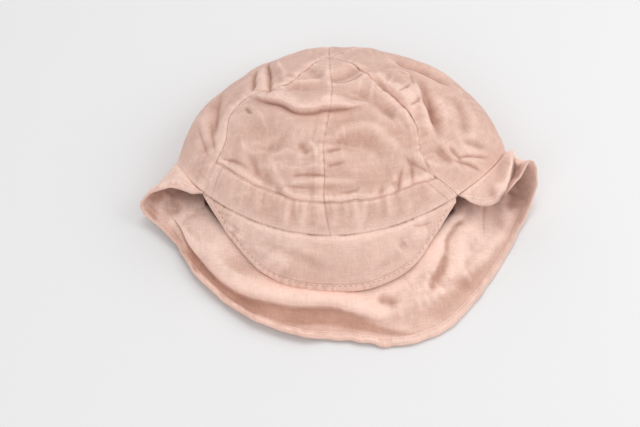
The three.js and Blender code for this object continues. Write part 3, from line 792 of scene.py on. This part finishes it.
gatherNoise = {"height": 0.34, "spacing": 2.6, "length": 0.55, "middle": 2, "reach": 24}


def gathered(angle, share):  # their height at a place on the band; share is 0 at the rim and 1 at the top
    angle, share = np.broadcast_arrays(angle, share)
    total = np.zeros(angle.shape)
    for centre, height, width, lean, low in zip(*gathers.values()):
        reach = smooth(share, low - 0.2, low + 0.25)
        total += height * reach * np.exp(-((angle - centre - lean * (1 - share)) / width) ** 2)
    fine = np.stack([angle / gatherNoise["spacing"], share / gatherNoise["length"], 0 * share], -1)
    near = np.exp(-((angle - gatherNoise["middle"]) / gatherNoise["reach"]) ** 4)
    strength = (0.35 + 0.65 * near) * smooth(share, -0.1, 0.6)
    return total + gatherNoise["height"] * lattice(fine, 1, 51) * strength


def bandTop(angle):
    wobble = lattice(np.stack([angle, 0 * angle, 0 * angle], -1), 4.5, 55)
    return column(bandRows, "top", angle, "angle") + 0.004 * wobble


def seamStrength(key, t):  # the front right seam is lost in the folds for a part of its way
    share = seamShare.get(key, otherSeams)
    if key == "frontRight":
        share = share * np.maximum(0.3, smooth(t, 0.30, 0.44) + 1 - smooth(t, 0.12, 0.18))
    return share


def seamAngle(key, t):
    return column(seamRows, key, np.clip(t, 0, 1))


def rowWidths(left, right, t):
    share = np.linspace(0, 1, 25)[:, None]
    start, end = seamAngle(left, t), seamAngle(right, t)
    across = crownForm(start + (end - start) * share, t + 0 * share)
    return size(np.diff(across, axis=0)).sum(0)


def makeGore(name):
    gore = gores[name]
    front = "front" in name
    first = bandSideStops if front else seamStops
    low = bandShare if front else 0.0
    length = crownLength * (1 - low)
    up = stops(length, clothStep, first, pointStops)[0]
    share = up / length
    t = (low + (1 - low) * np.clip(share, 0, 1))[:, None]
    width = rowWidths(gore["left"], gore["right"], t[:, 0])
    across = stops(width, clothStep, seamStops, seamStops)
    wall = goreCloth["wall"] * np.clip(width / 8, 0.01, 1)[:, None]
    placed = across + inset(across, wall) - inset(width[:, None] - across, wall)
    f = np.clip(placed / np.maximum(width, 1e-6)[:, None], 0, 1)
    for _ in range(2):
        start, end = seamAngle(gore["left"], t), seamAngle(gore["right"], t)
        angle = start + (end - start) * f
        if front:
            bottom = bandTop(angle)
            t = bottom + (1 - bottom) * np.clip(share, 0, 1)[:, None]
        else:
            t = t + 0 * f
    point, out = crownCloth(angle, t)
    left = across
    right = width[:, None] - across
    above = up[:, None] + 0 * f
    narrow = smooth(width, 2, 14)[:, None]
    leftShare = seamStrength(gore["left"], t)
    rightShare = seamStrength(gore["right"], t)
    drop = (seamDrop(left) * leftShare + seamDrop(right) * rightShare) * mix(0.5, 1, narrow)
    lift = allowanceLift(right) * narrow
    seed = sum(map(ord, name))
    lift = lift + (pucker(above, left, seed) + pucker(above, right, seed + 1)) * narrow
    if front:
        rimShare = column(bandRows, "dark", angle, "angle")
        sunk = np.exp(-(np.maximum(above, 0) / goreCloth["atBandReach"]) ** 1.5)
        drop = drop + goreCloth["atBand"] * mix(0.45, 1, rimShare) * sunk + np.maximum(-above, 0) * 0.5
        bunched = np.stack([angle / puff["cell"][0], above / puff["cell"][1], 0 * above], -1)
        full = puff["height"] + puff["broad"] * lattice(bunched, 1, 52)
        full = full + puff["fine"] * lattice(2.1 * bunched, 1, 53) + gathered(angle, 1.0) * puff["gathers"]
        full = full * mix(puff["leftShare"], 1, smooth(angle, -26, -12))
        lift = lift + full * np.exp(-((above - puff["above"]) / puff["reach"]) ** 2)
        lift = lift + puff["ripple"] * lattice(bunched, 1, 54) * np.exp(-above / puff["rippleReach"])
    else:
        drop = drop + seamDrop(above)
        rimShare = goreCloth["rimShare"]
    point = point + out * (lift - drop)[..., None]
    point[..., 2] = onTable(point[..., 2], goreCloth["wall"] / 2 + 0.05)
    # painted shade in the seams and along the band's top
    line = leftShare * paintedShade(left) + rightShare * paintedShade(right)
    line = line + goreCloth["topLine"] * rimShare * paintedShade(above)
    return makeSheet(name, gore["node"], point, across - width[:, None] / 2, above,
                     line, crownMaterial, goreCloth["wall"])


for name in gores:
    gore = makeGore(name)
print("gores made")


# Band
bandCloth = {
    "wall": 1.9,
    "height": 22.5,
    "proud": 0.35,
    "bulge": 0.9,
    "stitchFromTop": 1.4,
    "stitchDepth": 0.5,
    "endRows": (1.6, 7.5),  # the pressed lines at the outer end
    "endDepth": 0.35,
    # bottomLine and topLine: the strength of painted shade along the band's lower and upper edges
    "bottomLine": 1.3,
    "topLine": 1.1,
}
bands = {
    "casing_left": {"node": "band_left", "left": "frontLeft", "right": "front"},
    "casing_right": {"node": "band_right", "left": "front", "right": "frontRight"},
}
bandEdge = np.array([0.0, 0.3, 0.7, 1.4, 2.2])


def makeBand(name):
    band = bands[name]
    height = bandCloth["height"]
    up = stops(height, clothStep, seamStops, bandEdge)[0]
    share = np.clip(up / height, 0, 1)
    t = (bandShare * share)[:, None]
    width = rowWidths(band["left"], band["right"], t[:, 0])
    across = stops(width, clothStep, seamStops, seamStops)
    wall = bandCloth["wall"]
    placed = across + inset(across, wall) - inset(width[:, None] - across, wall)
    f = np.clip(placed / width[:, None], 0, 1)
    share = np.clip((up + 0.3 * inset(up, wall)) / height, 0, 1)
    for _ in range(2):
        start, end = seamAngle(band["left"], t), seamAngle(band["right"], t)
        angle = start + (end - start) * f
        t = bandTop(angle) * share[:, None]
    point, out = crownCloth(angle, t)
    left = across
    right = width[:, None] - across
    above = up[:, None] + 0 * f
    below = height - above
    outerEnd = left if band["left"] == "frontLeft" else right
    lift = bandCloth["proud"] + bandCloth["bulge"] * (1 - (2 * share - 1) ** 2)[:, None]
    lift = lift + gathered(angle, share[:, None])
    lift = lift - bandCloth["stitchDepth"] * np.exp(-((below - bandCloth["stitchFromTop"]) / 0.6) ** 2)
    for fromEnd in bandCloth["endRows"]:
        lift = lift - bandCloth["endDepth"] * np.exp(-((outerEnd - fromEnd) / 0.6) ** 2)
    leftShare = bandFrontSeam if band["left"] == "front" else seamShare[band["left"]]
    rightShare = bandFrontSeam if band["right"] == "front" else seamShare[band["right"]]
    drop = leftShare * seamDrop(left) + rightShare * seamDrop(right) + seamDrop(above)
    drop = drop + 0.5 * np.exp(-(np.maximum(below, 0) / 0.7) ** 2)
    point = point + out * (lift - drop)[..., None]
    thin = 0.45 + 0.55 * smooth(below, 0, 0.9)
    # painted shade in the seams and along the band's edges
    line = leftShare * paintedShade(left) + rightShare * paintedShade(right)
    line = line + bandCloth["bottomLine"] * paintedShade(above)
    line = line + bandCloth["topLine"] * column(bandRows, "dark", angle, "angle") * paintedShade(below)
    return makeSheet(name, band["node"], point, across - width[:, None] / 2, above,
                     line, bandMaterial, bandCloth["wall"], thin)


for name in bands:
    casing = makeBand(name)
print("band made")


# Peak, which is two layers with a stiffener between them
peakCloth = {
    "wall": 2.0,
    "edgeLength": 205,
    "stitchInset": 5.4,
    "pressed": 0.45,
    "pillow": 0.14,  # between the row of stitches and the edge
    "pillowSpacing": 4.8,
    "tuck": 0.5,
    "tuckReach": 2.4,
    "shade": 1.5,  # under the band's edge
    "shadeReach": 1.2,
}
peakEdge = np.array([0.0, 0.35, 0.8, 1.4, 2.2, 3.2, 4.2, 5.0, 5.4, 5.8, 6.5])
peakLines = foldLines(peakForm, peakFolds)


def makePeak():
    s = np.linspace(0.994, 0.003, int(peakCloth["edgeLength"] / clothStep))[None, :]
    length = size(peakForm(s, 1.0) - peakForm(s, 0.0))[0]
    down = stops(length, clothStep, seamStops, peakEdge).T
    r = (down + 0.4 * inset(down, peakCloth["wall"])) / length[None, :]
    sewn = 0.4 * inset(0, peakCloth["wall"]) / length[None, :]
    base = peakForm(s + 0 * r, np.where(down < 0, sewn, r))
    out = -outward(peakForm, s + 0 * r, np.clip(r, 0.02, 0.98), 0.004, 0.01)
    point = base + foldMove(base.reshape(-1, 3), out.reshape(-1, 3), peakLines).reshape(base.shape)
    point = point + wrinkles(base, out, crumple["peak"], 60)
    fromEdge = length[None, :] - down
    along = runLength(peakForm(s, 1.0), 1)
    pressed = peakCloth["pressed"] * np.exp(-((fromEdge - peakCloth["stitchInset"]) / 0.55) ** 2)
    uneven = lattice(np.stack([along, 0 * along, 0 * along], -1), 11, 63)
    wave = peakCloth["pillow"] * np.cos(2 * np.pi * along / peakCloth["pillowSpacing"] + 4 * uneven)
    pillow = wave * np.exp(-((fromEdge - 2.8) / 1.8) ** 2) * (0.6 + uneven)
    fromSeam = np.maximum(down, 0)  # the peak goes under the band's edge
    tucked = seamDrop(down) + peakCloth["tuck"] * np.exp(-(fromSeam / peakCloth["tuckReach"]) ** 2)
    lift = 0.25 * smooth(fromEdge, 0.3, 1.6) - pressed + pillow - tucked
    point = point + out * lift[..., None]
    thin = 0.35 + 0.65 * smooth(fromEdge, -0.2, 1.3)
    u = np.broadcast_to(-along, down.shape)
    # painted shade under the band's edge
    line = peakCloth["shade"] * np.exp(-(fromSeam / peakCloth["shadeReach"]) ** 2)
    return makeSheet("peak_linen", "peak", point, u, down,
                     line, peakMaterial, peakCloth["wall"], thin)


peakPiece = makePeak()
print("peak made")


# Neck flap, whose edge turns back over its inner side as a hem
flapCloth = {
    "wall": 0.9,
    "edgeLength": 650,
    "stitchInset": 3.6,
    "pressed": 0.3,
    "ripple": (0.55, 0.3),  # of the hem, broad and fine
    "kinks": (0.8, 0.7),  # in the hem's line, broad and fine
    "tuck": 0.5,
    "hemWeaveStep": 0.7,
}
hemTurn = {  # from the edge inward, and up from the flap's inner side, mm
    "in": [-0.10, -0.40, -0.45, -0.15, 0.5, 1.3, 2.2, 3.0, 3.6, 4.1, 4.5, 4.7, 4.6],
    "up": [0.00, 0.15, 0.38, 0.60, 0.75, 0.80, 0.80, 0.75, 0.60, 0.72, 0.68, 0.45, 0.25],
}
flapLines = foldLines(flapForm, flapFolds)
# painted shade in the hollow of the fold at the right; dark is how strong it is
hornValley = {  # the dark hollow in the fold at the right
    "r": [0.24, 0.38, 0.52, 0.66, 0.80, 0.96],
    "s": [0.851, 0.865, 0.882, 0.901, 0.919, 0.932],
    "width": 0.010,
    "dark": 1.4,
}


def makeFlap():
    s = np.linspace(0.003, 0.997, int(flapCloth["edgeLength"] / flapStep))[None, :]
    length = size(flapForm(s, 1.0) - flapForm(s, 0.0))[0]
    down = stops(length, flapStep, seamStops, freeStops).T
    turnIn = np.array(hemTurn["in"])[:, None]
    up = np.concatenate([np.zeros(down.shape[0]), hemTurn["up"]])[:, None]
    down = np.concatenate([down, length[None, :] - turnIn])
    r = down / length[None, :]
    base = flapForm(s + 0 * r, np.maximum(r, 0))
    out = outward(flapForm, s + 0 * r, np.clip(r, 0.02, 0.98), 0.002, 0.01)
    inner = -out
    fromEdge = length[None, :] - down
    along = runLength(flapForm(s, 1.0), 1)
    free = smooth(r, 0, 0.2)[..., None]
    folded = foldMove(base.reshape(-1, 3), inner.reshape(-1, 3), flapLines).reshape(base.shape)
    point = base + (folded + wrinkles(base, inner, crumple["flap"], 90)) * free
    waver = np.stack([along, 0 * along, 0 * along], -1)
    nearHem = np.exp(-(np.maximum(fromEdge, 0) / 6) ** 2)
    broad, fine = flapCloth["ripple"]
    ripple = broad * lattice(waver, 13, 5) + fine * lattice(waver, 5, 6)
    pressed = flapCloth["pressed"] * np.exp(-((fromEdge - flapCloth["stitchInset"]) / 0.6) ** 2)
    lift = ripple * nearHem - pressed * (up < 0.01) + up
    tucked = seamDrop(down) + flapCloth["tuck"] * np.exp(-np.maximum(down, 0) ** 2)
    point = point + inner * lift[..., None] - out * tucked[..., None]
    edgeOut = unit(flapForm(s, 1.02) - flapForm(s, 0.98))
    broad, fine = flapCloth["kinks"]
    kinks = broad * lattice(waver, 17, 7) + fine * lattice(waver, 6.5, 8)
    point = point + edgeOut * (kinks * nearHem)[..., None]
    low = flapCloth["wall"] / 2 + 0.05 + np.maximum(up, 0)
    point[..., 2] = onTable(point[..., 2], low)
    turned = len(hemTurn["in"])
    v = down.copy()
    v[-turned:] = length[None, :] + np.arange(1, turned + 1)[:, None] * flapCloth["hemWeaveStep"]
    u = np.broadcast_to(along, down.shape)
    # painted shade along the right fold's hollow
    valley = np.interp(r, hornValley["r"], hornValley["s"])
    shade = np.exp(-((s - valley) / hornValley["width"]) ** 2) * smooth(r, 0.3, 0.5)
    line = paintedShade(down) + hornValley["dark"] * shade
    outerSide = np.maximum(1 - smooth(s, 0.12, 0.16), smooth(s, 0.82, 0.86))  # 1 where that side shows
    onHem = np.arange(len(down))[:, None] >= len(down) - turned
    seen = np.where(onHem, 1 - 2 * outerSide, 2 * outerSide - 1)
    seen = np.where(np.abs(fromEdge) < 0.8, 0, seen) * smooth(down, 0.5, 3)
    return makeSheet("flap_linen", "neck_flap", point, u, v,
                     line, flapMaterial, flapCloth["wall"], seen=seen)


flapPiece = makeFlap()
print("flap made")


# Stitches, which are short bars of thread in rows
stitch = {
    "length": 2.0,
    "spacing": 3.3,
    "width": 0.60,
    "height": 0.44,
    "sunk": 0.02,
    "hemSunk": 0.12,
    "wander": 0.14,
    "jitter": 0.3,
    "fromEnd": 0.8,
}


def rowAt(values, distance, target):  # reads a sheet along the line at a distance from its first row
    columns = np.arange(distance.shape[1])
    low = np.clip((distance < target).sum(0) - 1, 0, len(distance) - 2)
    near = distance[low, columns]
    far = distance[low + 1, columns]
    return mix(values[low, columns], values[low + 1, columns], ((target - near) / (far - near))[:, None])


def resample(line, places, far):
    return np.stack([np.interp(places, far, line[:, k]) for k in range(3)], -1)


def makeStitches(name, node, slotName, line, out, lift):  # along a line of points in the cloth
    bm = bmesh.new()
    far = runLength(line[:, None], 0)[:, 0]
    middle = np.arange(stitch["fromEnd"], far[-1] - stitch["fromEnd"], stitch["spacing"])
    jitter = lattice(np.stack([middle, 0 * middle, 0 * middle], -1), 1, 81)
    middle = middle + stitch["jitter"] * jitter
    place = resample(line, middle, far)
    along = unit(resample(line, middle + 0.6, far) - resample(line, middle - 0.6, far))
    up = resample(out, middle, far)
    side = unit(np.cross(up, along))
    up = np.cross(along, side)
    place = place + up * (lift - stitch["sunk"]) + side * (stitch["wander"] * jitter)[:, None] - rowFrameShift
    across = side * stitch["width"] / 2
    above = up * stitch["height"] / 2
    ahead = along * stitch["length"] / 2
    for p, a, b, c in zip(place, across, above, ahead):
        turn = Matrix([[a[k], b[k], c[k], p[k]] for k in range(3)] + [[0, 0, 0, 1 / metre]]) * metre
        bmesh.ops.create_uvsphere(bm, u_segments=6, v_segments=4, radius=1, matrix=turn)
    mesh = bpy.data.meshes.new(name)
    bm.to_mesh(mesh)
    bm.free()
    mesh.polygons.foreach_set("use_smooth", np.ones(len(mesh.polygons), bool))
    mesh.materials.append(threadMaterial)
    piece = bpy.data.objects.new(name, mesh)
    scene.collection.objects.link(piece)
    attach(piece, "root")
    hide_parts(node)


def rowBelow(name, fromEdge):  # a sheet's line of points at a distance from its free edge
    points, out, lift = surfaces[name]
    up = runLength(points, 0)
    distance = (up[-1:] - up)[::-1]
    return rowAt(points[::-1], distance, fromEdge), rowAt(out[::-1], distance, fromEdge), lift


for side in ("left", "right"):
    row = rowBelow("casing_" + side, bandCloth["stitchFromTop"])
    makeStitches("stitches_band_" + side, "band_" + side, "band_cloth", *row)
makeStitches("stitches_peak", "peak", "peak_cloth", *rowBelow("peak_linen", peakCloth["stitchInset"]))
flapPoints, flapOut, flapHalf = surfaces["flap_linen"]
stitched = len(flapPoints) - len(hemTurn["in"]) + hemTurn["up"].index(0.60, 4)
makeStitches("stitches_hem", "neck_flap", "flap_cloth", flapPoints[stitched], flapOut[stitched],
             flapHalf - stitch["hemSunk"])
print("stitches made")


# Table, lights and camera
def makeTable():
    bm = bmesh.new()
    bmesh.ops.create_grid(bm, x_segments=1, y_segments=1, size=3.0)
    mesh = bpy.data.meshes.new("table")
    bm.to_mesh(mesh)
    bm.free()
    table = bpy.data.objects.new("table", mesh)
    scene.collection.objects.link(table)
    material = bpy.data.materials.new("table paper")
    material.use_nodes = True
    surface = material.node_tree.nodes["Principled BSDF"]
    surface.inputs["Base Color"].default_value = linear((235, 235, 236))
    surface.inputs["Roughness"].default_value = 0.7
    surface.inputs["Specular IOR Level"].default_value = 0.2
    mesh.materials.append(material)


def areaLight(name, place, target, width, power, colour):
    lamp = bpy.data.lights.new(name, "AREA")
    lamp.shape = "DISK"
    lamp.size = width
    lamp.energy = power
    lamp.color = colour
    holder = bpy.data.objects.new(name, lamp)
    scene.collection.objects.link(holder)
    aim = np.array(target) - np.array(place)
    back = -aim / np.linalg.norm(aim)
    side = np.cross([0, 0, 1], back)
    side /= np.linalg.norm(side)
    top = np.cross(back, side)
    turn = Matrix([[side[k], top[k], back[k], place[k]] for k in range(3)] + [[0, 0, 0, 1]])
    holder.matrix_world = turn


makeTable()
areaLight("side light", (0.85, 0.0, 0.70), (0, 0, 0), 0.8, 3.1, (1.0, 0.99, 0.98))
areaLight("overhead softbox", (0.0, 0.32, 1.26), (0, 0, 0), 0.6, 2.9, (1.0, 0.995, 0.985))
areaLight("front fill", (-0.45, -0.85, 0.75), (0, 0, 0), 0.6, 1.3, (1.0, 0.99, 0.98))
world = bpy.data.worlds.new("studio")
world.use_nodes = True
world.node_tree.nodes["Background"].inputs["Color"].default_value = (0.97, 0.97, 0.965, 1)
world.node_tree.nodes["Background"].inputs["Strength"].default_value = 0.71
scene.world = world
scene.view_settings.view_transform = "Standard"

camera = bpy.data.cameras.new("camera")
camera.lens = 70.3
camera.sensor_width = 36
camera.clip_end = 20
cameraHolder = bpy.data.objects.new("camera", camera)
cameraHolder.location = (-0.0118, -0.4460, 0.6457)
cameraHolder.rotation_euler = (math.radians(90 - 56), 0, 0)
scene.collection.objects.link(cameraHolder)
scene.camera = cameraHolder
print("table, lights and camera made")

bpy.context.view_layer.update()
